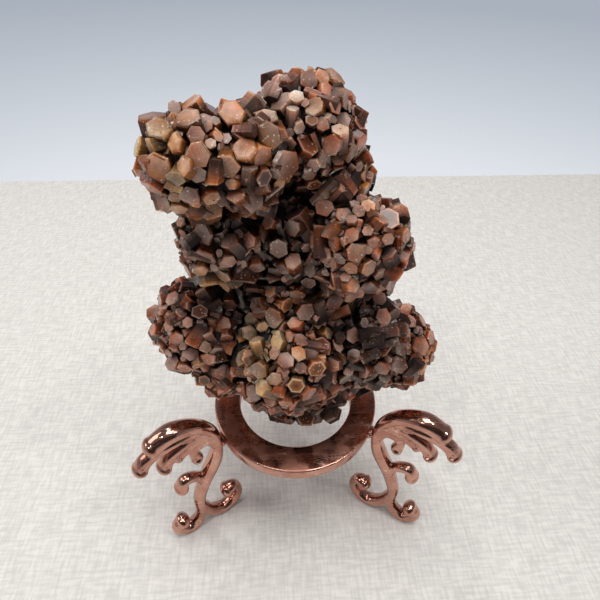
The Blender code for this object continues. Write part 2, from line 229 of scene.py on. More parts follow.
# Generations of crystals that fill each burst, large ones first: width over the burst's own and reach
# over its radius, each between two limits, how many directions are tried for each that would fit, and
# the least distance to another tip, as a share of the two widths' sum.
GENERATIONS = [
    ((1.05, 1.5), (0.9, 1.06), 1.6, 0.36),
    ((0.75, 1.1), (0.86, 1.03), 2.0, 0.34),
    ((0.45, 0.8), (0.82, 0.98), 2.4, 0.3),
]
STYLE_SHARES = {"flat": 6, "stepped": 2, "hollow": 2, "worn": 2}
HEADS_OF_A_STYLE = 6
CRYSTAL_ROOT = 0.4  # a crystal starts at this share of its burst's radius
ROOT_DRIFT = 0.5  # how far its root may be off the burst's centre line, over the radius
LEADER_DRIFT = 0.2  # the same, for a crystal that stands out
LEADER_CROWDING = 0.3  # the least distance of a crystal that stands out to another tip, as above
TIP_AREA = 0.7  # of a crystal's cap, over its width squared
CELL = 4.0  # side (mm) of the cells in which neighbouring tips are looked up
BURIED = 0.9  # a tip nearer than this to another burst's centre, as a share of its radius, is left out
RING_REACH = 0.6  # of a crystal's width: how near its end may come to the ring
RING_TEST_DEPTH = 2.5  # how far below its tip (mm) a crystal is tested against the ring, too
SPREAD_JITTER = 0.5  # how far a direction is moved from even, over the mean spacing
SEAT_GAP = 0.3 * MM  # between the stone and the ring
COLOUR_DRIFT = (0.0, 0.5)  # between them, how far a crystal's colours are drawn to russet
BRIGHTNESS = (0.42, 1.15)  # of a crystal
FACET_BRIGHTNESS = (0.65, 1.5)  # of one side of a crystal, over the crystal's
CORE_DEPTH = 0.84  # radius of the fused core of a burst, over the burst's
CORE_LUMP = 2.2 * MM  # size of the core's lumps
CORE_ROUGHNESS = 0.08  # their height over its radius
# The core is painted dark: dimmed to 0.6 and taken to lie 4 mm below the caps, so that it gets the painted
# shade of the gaps.
CORE_SHADE = 0.6  # brightness of the core
CORE_GROWTH_DEPTH = 4  # how far below a cap (mm) its material takes it to be

# Shapes of a crystal, over its width unless they say otherwise.
PRISM_RADIUS = 0.5
PRISM_FOOT_RADIUS = 0.53
PRISM_FOOT = -0.9  # a head's corners under this height are its foot's
CAP_START = -0.001  # what the growth map says at a cap's rim
SIDE_START = 0.05  # what it says at the top of a side
CORNER_PUSH = (0.9, 1.08)  # how far a corner is out, over even
CORNER_TURN = 0.13  # how far a corner is round from even, at most, in radians
CAP_SLOPE = 0.1  # rise of the cap over its run, at most, along each axis
CHIPPED_EDGE = {"flat": 0.03, "stepped": 0.03, "hollow": 0.03, "worn": 0.09}
CHIPPED_FACES = {"flat": 1, "stepped": 1, "hollow": 1, "worn": 2}
WORN_CROWN = 0.04  # how high the middle of a worn cap stands
HOLLOW_RIM = 0.11
HOLLOW_DEPTH = 0.12
STEP_RIM = (0.07, 0.14)
STEP_HEIGHT = 0.09
SQUEEZE = ((0.92, 1.08), (0.78, 0.95))  # of a crystal along its two axes across
CAP_IN_BODY = 0.1  # share of the cap's colour in the prism's
STRIAE_OFFSET = 40  # how far along their pattern (mm) two crystals' striations may start apart
CLEARANCE_STEPS = 64  # round the ring that cuts the cluster's seat


def linear(hex_colour):
    """Linear red, green and blue of an sRGB hex colour."""
    channels = [int(hex_colour[i:i + 2], 16) / 255 for i in (1, 3, 5)]
    return tuple(c / 12.92 if c <= 0.04045 else ((c + 0.055) / 1.055) ** 2.4 for c in channels)


def add_object(name, data, material=None):
    obj = bpy.data.objects.new(name, data)
    bpy.context.scene.collection.objects.link(obj)
    if material:
        data.materials.clear()
        data.materials.append(material)
    return obj


def mesh_from(shape, name):
    """A mesh of a bmesh, which is used up."""
    mesh = bpy.data.meshes.new(name)
    shape.to_mesh(mesh)
    shape.free()
    return mesh


def applied(obj):
    """A mesh of obj with its modifiers applied. The object is removed."""
    graph = bpy.context.evaluated_depsgraph_get()
    mesh = bpy.data.meshes.new_from_object(obj.evaluated_get(graph), depsgraph=graph)
    bpy.data.objects.remove(obj, do_unlink=True)
    return mesh


def add_boolean(obj, operation, others):
    """A Boolean modifier on obj with every object in the list, which are put into a collection."""
    helpers = bpy.data.collections.new("boolean_helpers")
    for other in others:
        for home in other.users_collection:
            home.objects.unlink(other)
        helpers.objects.link(other)
    modifier = obj.modifiers.new(operation.lower(), "BOOLEAN")
    modifier.operation = operation
    modifier.solver = "MANIFOLD"
    modifier.operand_type = "COLLECTION"
    modifier.collection = helpers
    return helpers


def remove_helpers(helpers):
    for obj in list(helpers.objects):
        bpy.data.meshes.remove(obj.data)
    bpy.data.collections.remove(helpers)


def from_angles(azimuth, elevation):
    """The direction at an azimuth from the viewer's side (-Y) towards +X, and an elevation, in degrees."""
    azimuth, elevation = math.radians(azimuth), math.radians(elevation)
    level = math.cos(elevation)
    return Vector((level * math.sin(azimuth), -level * math.cos(azimuth), math.sin(elevation)))


def spread_directions(count, rng):
    """Directions spread evenly over a ball, each moved a little at random."""
    spacing = math.sqrt(4 * math.pi / count)
    golden = math.pi * (3 - math.sqrt(5))
    found = []
    for i in range(count):
        z = 1 - (2 * i + 1) / count
        level = math.sqrt(1 - z * z)
        even = Vector((level * math.cos(golden * i), level * math.sin(golden * i), z))
        moved = even + SPREAD_JITTER * spacing * Vector([rng.uniform(-1, 1) for _ in range(3)])
        found.append(moved.normalized())
    return found


def near_ring(point, reach):
    """Whether the point, in mm from the ring's axis, is within reach of the ring's section."""
    inner = bpy.context.scene.specimen_stand.ring_inner_radius
    radius = math.hypot(point.x, point.y) * MM
    across = max(inner - radius, radius - RING_OUTER_RADIUS, 0)
    along = max(RING_BOTTOM - point.z * MM, point.z * MM - RING_TOP, 0)
    return math.hypot(across, along) < reach * MM


def palette_at(tip, own):
    """The palette of a patch that holds the tip, or the burst's own."""
    for burst, azimuth, elevation, reach, palette in PATCHES:
        centre, radius = BURSTS[burst][:2]
        if (tip - Vector(centre) - from_angles(azimuth, elevation) * radius).length < reach:
            return palette
    return own


def cell_of(tip):
    return tuple(math.floor(c / CELL) for c in tip)


def tips_near(tip, cells):
    """The (tip, width) pairs in the cell of a tip and the 26 round it."""
    middle = cell_of(tip)
    for step in itertools.product((-1, 0, 1), repeat=3):
        yield from cells.get(tuple(m + s for m, s in zip(middle, step)), [])


def pick(shares, rng):
    return rng.choices(list(shares), weights=list(shares.values()))[0]


def crystal_places(rng):
    """For each burst, the (root, tip, width, style, kind) of its crystals in mm from the ring's axis."""
    places = {}
    cells = {}
    for name, (centre, radius, width, palette) in BURSTS.items():
        centre = Vector(centre)
        others = [(Vector(c), r) for other, (c, r, _, _) in BURSTS.items() if other != name]
        wanted = [(from_angles(azimuth, elevation), *rest, LEADER_CROWDING)
                  for azimuth, elevation, *rest in LEADERS.get(name, [])]
        for widths, reaches, tries, crowding in GENERATIONS:
            mean_width = width * sum(widths) / 2
            count = round(tries * 4 * math.pi * radius**2 / (TIP_AREA * mean_width**2))
            for direction in spread_directions(count, rng):
                wanted.append((direction, rng.uniform(*reaches), width * rng.uniform(*widths), None, None,
                               crowding))
        places[name] = []
        for direction, reach, across, style, kind, crowding in wanted:
            sway = LEADER_DRIFT if style else ROOT_DRIFT
            tip = centre + direction * radius * reach
            if any((tip - c).length < BURIED * r for c, r in others):
                continue
            neck = tip - direction * RING_TEST_DEPTH
            if near_ring(tip, RING_REACH * across) or near_ring(neck, RING_REACH * across):
                continue
            if any((tip - t).length < crowding * (across + w) for t, w in tips_near(tip, cells)):
                continue
            cells.setdefault(cell_of(tip), []).append((tip, across))
            drift = Vector([rng.uniform(-1, 1) for _ in range(3)]) * sway * radius
            root = centre + direction * radius * CRYSTAL_ROOT + drift
            style = style or pick(STYLE_SHARES, rng)
            kind = kind or pick(PALETTES[palette_at(tip, palette)], rng)
            places[name].append((root, tip, across, style, kind))
    return places


def crystal_head(style, rng):
    """A prism one unit wide as a mesh: its cap is at z = 0 and its foot at z = -1.

    Its "growth" map holds, on the prism's sides, the distance round it and the depth below the cap, and
    on the cap the angle and, as a negative number, the distance in from the rim.
    """
    shape = bmesh.new()
    bmesh.ops.create_cone(shape, cap_ends=True, segments=6, radius1=PRISM_FOOT_RADIUS,
                          radius2=PRISM_RADIUS, depth=1, matrix=Matrix.Translation((0, 0, -1 / 2)))
    pushes = [rng.uniform(*CORNER_PUSH) for _ in range(6)]
    turns = [rng.uniform(-CORNER_TURN, CORNER_TURN) for _ in range(6)]
    slope = Vector([rng.uniform(-CAP_SLOPE, CAP_SLOPE) for _ in range(2)])
    for vert in shape.verts:
        corner = round(math.atan2(vert.co.y, vert.co.x) / math.radians(60)) % 6
        vert.co.xy = pushes[corner] * (Matrix.Rotation(turns[corner], 2) @ vert.co.xy)
        if vert.co.z > PRISM_FOOT:
            vert.co.z += slope.dot(vert.co.xy)
    cap = max(shape.faces, key=lambda face: face.calc_center_median().z)
    bmesh.ops.bevel(shape, geom=cap.edges[:], offset=CHIPPED_EDGE[style], segments=CHIPPED_FACES[style],
                    profile=0.5, affect="EDGES", material=-1)
    cap = max(shape.faces, key=lambda face: face.calc_center_median().z)
    caps = [cap]
    if style in ("hollow", "stepped"):
        rim = HOLLOW_RIM if style == "hollow" else rng.uniform(*STEP_RIM)
        rise = -HOLLOW_DEPTH if style == "hollow" else STEP_HEIGHT
        caps += bmesh.ops.inset_individual(shape, faces=[cap], thickness=rim, depth=rise)["faces"]
    poked = bmesh.ops.poke(shape, faces=[cap], offset=WORN_CROWN if style == "worn" else 0.0)
    caps = [face for face in caps if face.is_valid] + poked["faces"]
    growth = shape.loops.layers.uv.new("growth")
    for face in shape.faces:
        middle = face.calc_center_median()
        face_angle = math.atan2(middle.y, middle.x)
        for loop in face.loops:
            x, y, z = loop.vert.co
            angle = math.atan2(y, x) - face_angle
            angle = (angle + math.pi) % math.tau - math.pi
            inwards = math.hypot(x, y) - PRISM_RADIUS
            depth = min(inwards, CAP_START) if face in caps else max(0.0, SIDE_START - z)
            loop[growth].uv = ((face_angle + angle) * PRISM_RADIUS, depth)
    return mesh_from(shape, "head_" + style)


def mixed(colour, other, share):
    return tuple(a + (b - a) * share for a, b in zip(colour, other))


def crystal_object(head, root, tip, width, kind, rng):
    """A copy of a head, stretched to the root, turned, placed and coloured."""
    mesh = head.copy()
    length = (tip - root).length
    for vert in mesh.vertices:
        if vert.co.z < PRISM_FOOT:
            vert.co.z = -length / width
    offset = rng.uniform(0, STRIAE_OFFSET)
    for corner in mesh.uv_layers["growth"].data:
        u, v = corner.uv
        corner.uv = (u * width + offset, v * width)
    squeeze = Matrix.Diagonal((*(rng.uniform(*limits) for limits in SQUEEZE), 1, 1))
    mesh.transform(
        Matrix.Translation(RING_AXIS + tip * MM)
        @ (tip - root).to_track_quat("Z", "Y").to_matrix().to_4x4()
        @ Matrix.Rotation(rng.uniform(0, math.tau), 4, "Z")
        @ squeeze
        @ Matrix.Scale(width * MM, 4)
    )
    settings = bpy.context.scene.specimen_cluster
    body, cap = (mixed(getattr(settings, name), settings.russet, rng.uniform(*COLOUR_DRIFT))
                 for name in KINDS[kind])
    brightness = rng.uniform(*BRIGHTNESS)
    growth = mesh.uv_layers["growth"].data
    facets = []
    for face in mesh.polygons:
        on_cap = growth[face.loop_start].uv[1] < 0
        facets.append(1.0 if on_cap else rng.uniform(*FACET_BRIGHTNESS))
    colour_faces(mesh, mixed(body, cap, CAP_IN_BODY), cap, [brightness * facet for facet in facets])
    return bpy.data.objects.new("crystal", mesh)


def colour_faces(mesh, body, cap, brightness):
    """Gives every face of a mesh the colours of one crystal's prism and cap, each at its own brightness."""
    for name, colour in (("body_tint", body), ("cap_tint", cap)):
        layer = mesh.attributes.new(name, "FLOAT_COLOR", "FACE")
        shades = [value for level in brightness for value in (*(c * level for c in colour), 1.0)]
        layer.data.foreach_set("color", shades)


def core_object(centre, radius, colour):
    """The fused roots of one burst: a rough ball under its crystals."""
    shape = bmesh.new()
    bmesh.ops.create_icosphere(shape, subdivisions=3, radius=radius * CORE_DEPTH * MM)
    for vert in shape.verts:
        vert.co *= 1 + CORE_ROUGHNESS * noise.noise(vert.co / CORE_LUMP + Vector(centre))
    bmesh.ops.translate(shape, verts=shape.verts, vec=RING_AXIS + Vector(centre) * MM)
    # Taken to lie deep below the caps, so that the core gets the painted shade of the gaps.
    growth = shape.loops.layers.uv.new("growth")
    for face in shape.faces:
        for loop in face.loops:
            loop[growth].uv = (0, CORE_GROWTH_DEPTH)
    mesh = mesh_from(shape, "core")
    colour_faces(mesh, colour, colour, [CORE_SHADE] * len(mesh.polygons))
    return add_object("core", mesh)


def keep_largest_shell(mesh):
    """Takes out the walls of pockets that a union sealed inside."""
    shape = bmesh.new()
    shape.from_mesh(mesh)
    left = set(shape.verts)
    best = set()
    while left:
        shell = set()
        to_visit = [next(iter(left))]
        while to_visit:
            vert = to_visit.pop()
            if vert in shell:
                continue
            shell.add(vert)
            to_visit.extend(edge.other_vert(vert) for edge in vert.link_edges)
        left -= shell
        best = max(best, shell, key=len)
    bmesh.ops.delete(shape, geom=[v for v in shape.verts if v not in best], context="VERTS")
    shape.to_mesh(mesh)
    shape.free()


def grow_burst(name, places, heads, settings, rng):
    """The crystals of one burst, fused with their roots, as an object."""
    centre, radius = BURSTS[name][:2]
    core = core_object(centre, radius, settings.umber)
    crystals = [crystal_object(rng.choice(heads[style]), root, tip, width, kind, rng)
                for root, tip, width, style, kind in places]
    helpers = add_boolean(core, "UNION", crystals)
    mesh = applied(core)
    remove_helpers(helpers)
    return add_object(name, mesh)


def grow_cluster(settings):
    rng = random.Random(settings.seed)
    heads = {style: [crystal_head(style, rng) for _ in range(HEADS_OF_A_STYLE)] for style in STYLE_SHARES}
    bursts = [grow_burst(name, places, heads, settings, rng)
              for name, places in crystal_places(rng).items()]
    cluster = bursts.pop()
    helpers = add_boolean(cluster, "UNION", bursts)
    clearance = ring_shape(bpy.context.scene.specimen_stand, SEAT_GAP, CLEARANCE_STEPS)
    seat = add_boolean(cluster, "DIFFERENCE", [add_object("clearance", mesh_from(clearance, "clearance"))])
    mesh = applied(cluster)
    remove_helpers(helpers)
    remove_helpers(seat)
    keep_largest_shell(mesh)
    piece = add_object("aragonite_crystals", mesh, aragonite_material(settings))
    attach(piece, "root")
    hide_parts("aragonite_cluster")


# Stand ---------------------------------------------------------------------------------------------

LEG_ANGLES = {"leg_left": 210, "leg_right": 330, "leg_back": 90}  # degrees from +X, seen from above
LEG_DEPTH = 1.25  # a bar's thickness across the leg's plane, over its width in it
BAR_STEPS = 8  # straight runs between two points of a scroll's centreline
KNOB_SWELL = 1.12  # radius of the knob that ends a scroll, over the bar's
KNOB_STEPS = 8
JOINT_GAP = 0.3 * MM  # between a casting and the ring
RING_STEPS = 192  # round the ring
GAP_STEPS = 96  # round the ring that cuts the joint's gap
RING_SHARP = 35  # degrees between two of its faces from which the edge isn't smoothed
CASTING_SHARP = 50  # the same, for a casting
HOLLOW_WIDENING = 0.8  # a feather's hollow across the leg's plane, over its width in it
POLISH_ROUNDS = 8  # of smoothing, after the castings get their skin
BRIGHT_ROUGHNESS = 0.2  # of the plating where it has dulled, on the castings
WORN_ROUGHNESS = 0.42  # the same, on the ring
FLOOR_BLOCK = 0.2  # side of the block that cuts the feet level

SOLDER_SEED = 7
# A knot of solder: half its size along, across and up, in mm, and its place from the ring's outer edge
# and top.
SOLDER_SIZE = (0.75, 1.5, 1.15)
SOLDER_OUT = 0.35
SOLDER_DOWN = 1.45
SOLDER_LUMPS = 1.4  # across its half size
SOLDER_ROUGHNESS = 0.3  # height of the lumps over its half size

# Scrolls of one leg in its own plane: (distance from the ring's axis, height, radius) in mm.
SCROLLS = {
    "stem": [(20.0, 31.2, 1.0), (21.3, 25.6, 1.6), (24.8, 18.4, 1.5), (27.0, 11.8, 1.4),
             (27.0, 7.5, 1.5)],
    "rib": [(19.9, 31.0, 0.9), (21.0, 36.0, 1.2), (24.2, 40.2, 1.5), (28.8, 41.9, 1.8),
            (32.6, 40.6, 1.7)],
    "first_feather": [(22.6, 37.4, 0.8), (26.5, 38.4, 1.0), (31.3, 38.4, 1.2), (34.5, 37.4, 1.4),
                      (36.0, 35.6, 1.5)],
    "second_feather": [(21.6, 35.8, 0.8), (26.0, 36.4, 1.0), (29.8, 35.0, 1.2), (31.8, 32.2, 1.5)],
    "third_feather": [(21.0, 34.4, 0.8), (24.5, 34.9, 1.0), (28.7, 33.2, 1.2)],
    "volute": [(20.8, 30.8, 1.1), (22.4, 33.3, 1.0), (25.4, 32.4, 1.0), (25.2, 29.3, 1.3)],
    "middle_curl": [(25.0, 18.4, 1.1), (26.4, 21.8, 1.1), (28.9, 22.9, 1.2), (30.0, 20.8, 1.5)],
    "outer_foot": [(27.0, 8.5, 1.4), (27.9, 3.6, 1.4), (30.4, 1.05, 1.4), (33.0, 2.0, 1.3),
                   (34.0, 4.4, 1.2), (32.4, 5.8, 1.6)],
    "inner_foot": [(27.0, 8.5, 1.4), (25.3, 3.6, 1.4), (22.3, 1.05, 1.4), (19.0, 2.2, 1.3),
                   (17.4, 5.4, 1.2), (18.2, 8.6, 1.2), (20.0, 8.4, 1.6)],
}
GROOVED = ("first_feather", "second_feather", "third_feather", "volute")


def ring_shape(settings, grow=0.0, steps=RING_STEPS):
    """The ring as a bmesh turned from its section, whose corners are rounded."""
    inner = settings.ring_inner_radius - grow
    outer = RING_OUTER_RADIUS + grow
    shape = bmesh.new()
    corners = [(inner, RING_TOP + grow), (outer, RING_TOP + grow), (outer, RING_BOTTOM - grow),
               (inner, RING_BOTTOM - grow)]
    verts = [shape.verts.new((radius, 0, height)) for radius, height in corners]
    edges = [shape.edges.new((a, b)) for a, b in zip(verts, verts[1:] + verts[:1])]
    bmesh.ops.bevel(shape, geom=verts, offset=settings.ring_edge, segments=4, profile=0.5,
                    affect="VERTICES", material=-1)
    bmesh.ops.spin(shape, geom=shape.verts[:] + shape.edges[:], cent=(0, 0, 0), axis=(0, 0, 1),
                   angle=math.tau, steps=steps, use_merge=True)
    bmesh.ops.remove_doubles(shape, verts=shape.verts, dist=SAME_PLACE)
    bmesh.ops.recalc_face_normals(shape, faces=shape.faces)
    bmesh.ops.translate(shape, verts=shape.verts, vec=RING_AXIS)
    return shape


def turn_ring(settings):
    mesh = mesh_from(ring_shape(settings), "ring_band")
    mesh.shade_smooth()
    mesh.set_sharp_from_angle(angle=math.radians(RING_SHARP))
    piece = add_object("ring_band", mesh, plating_material(settings, "worn_rose_gold", WORN_ROUGHNESS))
    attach(piece, "root")
    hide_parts("ring")


def smooth_route(points):
    """Stations (x, z, radius) on a Catmull-Rom curve through the points, all in mm, with a round end."""
    ends = [points[0], *points, points[-1]]
    route = []
    for before, start, end, after in zip(ends, ends[1:], ends[2:], ends[3:]):
        for step in range(BAR_STEPS):
            t = step / BAR_STEPS
            route.append([
                0.5 * (2 * s + (e - b) * t + (2 * b - 5 * s + 4 * e - a) * t**2
                       + (3 * s - b - 3 * e + a) * t**3)
                for b, s, e, a in zip(before, start, end, after)
            ])
    x, z, radius = points[-1]
    onward = Vector((x - route[-1][0], z - route[-1][1])).normalized() * radius * KNOB_SWELL
    for step in range(KNOB_STEPS):
        angle = step / KNOB_STEPS * math.pi / 2
        along = onward * math.sin(angle)
        route.append([x + along.x, z + along.y, radius * KNOB_SWELL * math.cos(angle)])
    return route


def swept_bar(name, route, depth, aside=0.0):
    """A round bar along a route in the XZ plane, made depth times as deep along Y and moved aside."""
    curve = bpy.data.curves.new(name, "CURVE")
    curve.dimensions = "3D"
    curve.bevel_depth = MM
    curve.bevel_resolution = 6
    curve.use_fill_caps = True
    spline = curve.splines.new("POLY")
    spline.points.add(len(route) - 1)
    for point, (x, z, radius) in zip(spline.points, route):
        point.co = (x * MM, 0, z * MM, 1)
        point.radius = radius
    mesh = applied(add_object(name, curve))
    shape = bmesh.new()
    shape.from_mesh(mesh)
    bmesh.ops.remove_doubles(shape, verts=shape.verts, dist=SAME_PLACE)
    bmesh.ops.recalc_face_normals(shape, faces=shape.faces)
    bmesh.ops.transform(shape, verts=shape.verts,
                        matrix=Matrix.Translation((0, aside, 0)) @ Matrix.Diagonal((1, depth, 1, 1)))
    return add_object(name, mesh_from(shape, name))


def leg_mesh(settings):
    """One casting in the XZ plane: its scrolls flow into one another and its feathers are hollowed."""
    bars = [swept_bar(name, smooth_route(points), LEG_DEPTH) for name, points in SCROLLS.items()]
    leg = bars.pop(0)
    union = add_boolean(leg, "UNION", bars)
    hollows = []
    for name in GROOVED:
        route = smooth_route(SCROLLS[name])[2:-KNOB_STEPS]
        slim = [(x, z, radius * settings.groove_width) for x, z, radius in route]
        widest = max(radius for _, _, radius in route) * LEG_DEPTH * MM
        for side in (-1, 1):
            hollows.append(swept_bar("hollow", slim, HOLLOW_WIDENING, side * widest))
    grooves = add_boolean(leg, "DIFFERENCE", hollows)
    skin = leg.modifiers.new("skin", "REMESH")
    skin.mode = "VOXEL"
    skin.voxel_size = settings.casting_voxel
    skin.use_smooth_shade = True
    polish = leg.modifiers.new("polish", "SMOOTH")
    polish.factor = 0.5
    polish.iterations = POLISH_ROUNDS
    mesh = applied(leg)
    remove_helpers(union)
    remove_helpers(grooves)
    return mesh


def cast_legs(settings):
    material = plating_material(settings, "bright_rose_gold", BRIGHT_ROUGHNESS)
    casting = leg_mesh(settings)
    for name, angle in LEG_ANGLES.items():
        mesh = casting.copy()
        mesh.transform(Matrix.Translation(RING_AXIS) @ Matrix.Rotation(math.radians(angle), 4, "Z"))
        leg = add_object(name + "_casting", mesh)
        gap_ring = add_object("gap_ring", mesh_from(ring_shape(settings, JOINT_GAP, GAP_STEPS), "gap"))
        floor_block = bmesh.new()
        bmesh.ops.create_cube(floor_block, size=FLOOR_BLOCK,
                              matrix=Matrix.Translation((0, 0, -FLOOR_BLOCK / 2)))
        below = add_object("below", mesh_from(floor_block, "below"))
        helpers = add_boolean(leg, "DIFFERENCE", [gap_ring, below])
        mesh = applied(leg)
        remove_helpers(helpers)
        mesh.shade_smooth()
        mesh.set_sharp_from_angle(angle=math.radians(CASTING_SHARP))
        piece = add_object(name + "_casting", mesh, material)
        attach(piece, "root")
        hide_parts(name)


def solder_necks(settings):
    """Small rough knots of solder where each leg meets the ring."""
    material = plating_material(settings, "bright_rose_gold", BRIGHT_ROUGHNESS)
    rng = random.Random(SOLDER_SEED)
    for name, angle in LEG_ANGLES.items():
        shape = bmesh.new()
        bmesh.ops.create_icosphere(shape, subdivisions=4, radius=1.0)
        offset = Vector([rng.uniform(0, 20) for _ in range(3)])
        for vert in shape.verts:
            vert.co *= 1 + SOLDER_ROUGHNESS * noise.noise(vert.co * SOLDER_LUMPS + offset)
        bmesh.ops.scale(shape, verts=shape.verts, vec=Vector(SOLDER_SIZE) * MM)
        place = Vector((RING_OUTER_RADIUS + SOLDER_OUT * MM, 0, RING_TOP - SOLDER_DOWN * MM))
        matrix = (Matrix.Translation(RING_AXIS) @ Matrix.Rotation(math.radians(angle), 4, "Z")
                  @ Matrix.Translation(place))
        bmesh.ops.transform(shape, verts=shape.verts, matrix=matrix)
        mesh = mesh_from(shape, name + "_solder")
        mesh.shade_smooth()
        piece = add_object(name + "_solder", mesh, material)
        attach(piece, "root")


# Materials -----------------------------------------------------------------------------------------


def fill_inputs(node, inputs):
    """Gives a node its inputs, which come by name or number in a dict, or in order in a list.

    An input takes a number, a vector, a colour, a socket, or a node, which gives its first output in use.
    """
    for name, value in inputs.items() if isinstance(inputs, dict) else enumerate(inputs):
        socket = node.inputs[name]
        if isinstance(value, bpy.types.Node):
            value = next(output for output in value.outputs if output.enabled)
        if isinstance(value, bpy.types.NodeSocket):
            node.id_data.links.new(value, socket)
        else:
            socket.default_value = (*value, 1.0) if socket.type == "RGBA" else value


def add_node(tree, kind, inputs=(), **settings):
    """Adds a shader node with its settings and its inputs."""
    made = tree.nodes.new("ShaderNode" + kind)
    for name, value in settings.items():
        setattr(made, name, value)
    fill_inputs(made, inputs)
    return made


def shaded_by(tree, colour, value, *limits):
    """The colour times a brightness. Limits are two values and the brightness at each."""
    brightness = add_node(tree, "MapRange", [value, *limits])
    return add_node(tree, "VectorMath", {0: colour, "Scale": brightness}, operation="SCALE")


def covered_by(tree, colour, cover, value, *limits):
    """The colour under a cover. Limits are two values and the cover's share at each, or else 0 and 1."""
    share = add_node(tree, "MapRange", [value, *limits])
    return add_node(tree, "Mix", {0: share, 6: colour, 7: cover}, data_type="RGBA")


def new_material(name):
    material = bpy.data.materials.new(name)
    material.use_nodes = True
    return material, material.node_tree, material.node_tree.nodes["Principled BSDF"]


def aragonite_material(settings):
    """Aragonite, grown as stubby twinned prisms: glassy striated sides and duller caps whose rim keeps the
    prism's colour, with painted light at the tips and edges and painted shade in the gaps.
    """
    material, tree, shader = new_material("aragonite_prisms")
    place = add_node(tree, "TexCoord").outputs["Object"]
    growth = add_node(tree, "SeparateXYZ", [add_node(tree, "UVMap", uv_map="growth")])
    round_it, depth = growth.outputs["X"], growth.outputs["Y"]
    body, cap = (add_node(tree, "Attribute", attribute_name=name) for name in ("body_tint", "cap_tint"))

    # The cap's colour sets in 0.25 to 0.5 mm inside its rim and darkens to 1.4 mm in, a painted shade where
    # less light comes through than at the rim, with faint zones of growth 0.45 mm apart.
    inside = add_node(tree, "Math", [depth, -1.0], operation="MULTIPLY")
    cap = shaded_by(tree, cap, inside, 0.3, 1.4, 1.0, 0.6)
    stone = covered_by(tree, body, cap, inside, 0.25, 0.5)
    zones = add_node(tree, "Math", [inside, 14.0], operation="MULTIPLY")
    zones = add_node(tree, "Math", [zones], operation="SINE")
    stone = shaded_by(tree, stone, zones, -1.0, 1.0, 0.93, 1.07)

    # Painted highlight along the chipped edges of the caps: within 0.5 mm of the rim the stone is painted
    # lighter and a little whiter, as if the edges catch the light.
    from_edge = add_node(tree, "Math", [depth], operation="ABSOLUTE")
    stone = shaded_by(tree, stone, from_edge, 0.1, 0.5, 1.45, 1.0)
    stone = covered_by(tree, stone, settings.frost, from_edge, 0.08, 0.35, 0.2, 0.0)

    # Clouds of clearer and duller stone, about 2 mm across, lighter and darker: partly the stone's own
    # mottling and partly painted light thrown back from cracks inside.
    clouds = add_node(tree, "TexNoise", {"Vector": place, "Scale": 0.5 / MM, "Detail": 3.0})
    stone = shaded_by(tree, stone, clouds, 0.3, 0.7, 0.62, 1.35)

    # Painted glints: flecks about 0.2 mm across, painted near white, where a crack inside would throw the
    # light back.
    painted_glint_cells = add_node(tree, "TexVoronoi", {"Vector": place, "Scale": 5.0 / MM})
    painted_glints = add_node(tree, "SeparateColor", [painted_glint_cells.outputs["Color"]])
    stone = covered_by(tree, stone, settings.frost, painted_glints, 0.975, 0.99, 0.0, 0.4)

    # Painted light and shade: the tips are painted up to 1.3 times brighter, as if glowing with light that
    # comes in through them, and deeper between the crystals the stone is painted into the shadow colour.
    stone = shaded_by(tree, stone, depth, 0.0, 1.6, 1.3, 1.0)
    deep = add_node(tree, "MapRange", [depth, 0.3, 2.8, 0.0, 0.9])
    stone = add_node(tree, "Mix", {0: deep, 6: stone, 7: settings.shadow}, data_type="RGBA")

    # Striations along the prism, drawn 0.3 mm apart so that they show.
    across = add_node(tree, "Math", [round_it, 3.4], operation="MULTIPLY")
    along = add_node(tree, "Math", [depth, 0.2], operation="MULTIPLY")
    grain = add_node(tree, "CombineXYZ", [across, along])
    striae = add_node(tree, "TexNoise", {"Vector": grain, "Scale": 1.0, "Detail": 2.0})
    side = add_node(tree, "Math", [depth, 0.0], operation="GREATER_THAN")
    striae = add_node(tree, "Math", [striae, side], operation="MULTIPLY")
    streaks = add_node(tree, "MapRange", [striae, 0.35, 0.65, 0.82, 1.2])
    streaks = add_node(tree, "Mix", {0: side, 2: 1.0, 3: streaks})
    stone = add_node(tree, "VectorMath", {0: stone, "Scale": streaks}, operation="SCALE")

    # Painted shade in the hollows, 12 mm deep or less, where little light finds its way into the brown
    # stone, and painted light, up to 1.25 times, on the open faces.
    open_sky = add_node(tree, "AmbientOcclusion", {"Distance": 12.0 * MM}, samples=6, only_local=True)
    stone = shaded_by(tree, stone, open_sky.outputs["AO"], 0.2, 0.75, 0.03, 1.25)

    # Pits about 0.3 mm across roughen the striations, and the duller clouds and the depths are rougher.
    pits = add_node(tree, "TexNoise", {"Vector": place, "Scale": 3.0 / MM, "Detail": 3.0})
    relief = add_node(tree, "Math", [pits, 0.35, striae], operation="MULTIPLY_ADD")
    bump = add_node(tree, "Bump", {"Height": relief, "Strength": 0.6, "Distance": 0.2 * MM})
    rough = add_node(tree, "MapRange", [clouds, 0.35, 0.65, 0.03, 0.16])
    rough = add_node(tree, "Math", [rough, deep], operation="MAXIMUM")
    fill_inputs(shader, {
        "Base Color": stone, "Normal": bump, "Roughness": rough, "IOR": 1.62, "Specular IOR Level": 0.4,
        "Transmission Weight": 0.12, "Subsurface Weight": 0.7, "Subsurface Radius": (1.0, 0.6, 0.4),
        "Subsurface Scale": 2.2 * MM,
    })
    return material


